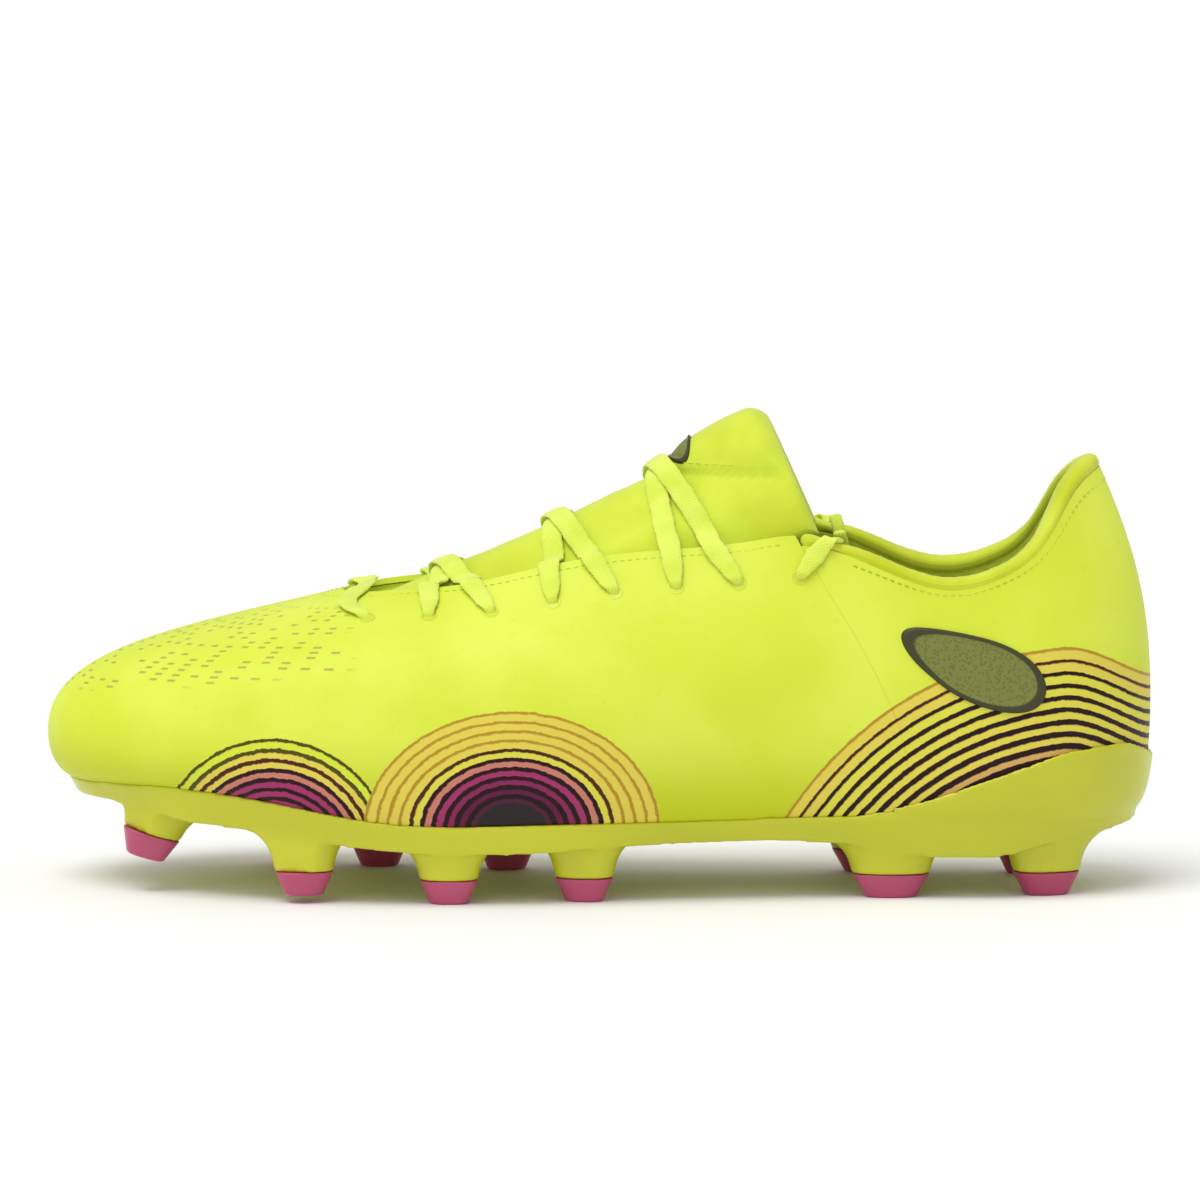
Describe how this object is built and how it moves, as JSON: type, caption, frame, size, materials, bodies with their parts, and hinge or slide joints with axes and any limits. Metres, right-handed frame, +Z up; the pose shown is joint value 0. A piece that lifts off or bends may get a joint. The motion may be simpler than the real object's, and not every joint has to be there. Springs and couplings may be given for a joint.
{
  "type": "soccer cleat",
  "caption": "Low-cut firm-ground soccer cleat for a left foot, laced, with padded collar and tongue, moulded sole plate with heel cup, and two-colour studs.",
  "frame": {"origin": "middle of the shoe's outline as seen from above, on the ground under the studs", "axes": "+Z up, -X towards the toe, +X towards the heel, -Y towards the outer side of the foot, +Y towards the inner side"},
  "size_m": [0.2866, 0.0957, 0.1235],
  "materials": {
    "upper_skin": "satin",
    "sole_plate": "satin",
    "stud_tip": "gloss",
    "lining": "matte",
    "collar_binding": "matte",
    "tongue_textile": "matte",
    "foam": "matte",
    "stiffener": "matte",
    "insole_board": "matte",
    "sockliner_cover": "matte",
    "badge": "satin",
    "lace": "matte",
    "aglet": "gloss"
  },
  "bodies": {
    "shoe": {"vamp": "upper_skin", "quarter_outer": "upper_skin", "quarter_inner": "upper_skin", "vamp_lining": "lining", "quarter_lining": "lining", "collar_binding": "collar_binding", "collar_foam": "foam", "toe_puff": "stiffener", "heel_counter": "stiffener", "eyestay_outer": "stiffener", "eyestay_inner": "stiffener", "side_badge_outer": "badge", "side_badge_inner": "badge", "sole_plate": "sole_plate", "stud_tip_toe_outer": "stud_tip", "stud_tip_toe_inner": "stud_tip", "stud_tip_front_outer": "stud_tip", "stud_tip_front_inner": "stud_tip", "stud_tip_ball_outer": "stud_tip", "stud_tip_ball_inner": "stud_tip", "stud_tip_mid_outer": "stud_tip", "stud_tip_mid_inner": "stud_tip", "stud_tip_heel_front_outer": "stud_tip", "stud_tip_heel_front_inner": "stud_tip", "stud_tip_heel_back_outer": "stud_tip", "stud_tip_heel_back_inner": "stud_tip", "insole_board": "insole_board", "tongue_face": "tongue_textile", "tongue_pad": "foam", "tongue_lining": "lining", "tongue_badge": "badge", "lace": "lace", "lace_end_outer": "lace", "lace_end_inner": "lace"},
    "tongue_top": {"tongue_top_face": "tongue_textile", "tongue_top_pad": "foam", "tongue_top_lining": "lining"},
    "sockliner": {"sockliner_foam": "foam", "sockliner_cover": "sockliner_cover", "lace_loop_outer": "lace", "aglet_outer": "aglet", "lace_loop_inner": "lace", "aglet_inner": "aglet"}
  },
  "joints": [
    {"name": "tongue_top_flex", "type": "hinge", "parent": "shoe", "child": "tongue_top", "pos_m": [0.0332, -0.0003, 0.1046], "axis": [0, -1, 0], "range_deg": [-8, 10], "stiffness_Nm_per_rad": 0.02},
    {"name": "sockliner_lift", "type": "hinge", "parent": "shoe", "child": "sockliner", "pos_m": [-0.13, 0.0075, 0.0305], "axis": [0, -1, 0], "range_deg": [0, 5], "deforming": ["lace_end_outer", "lace_end_inner"]}
  ]
}
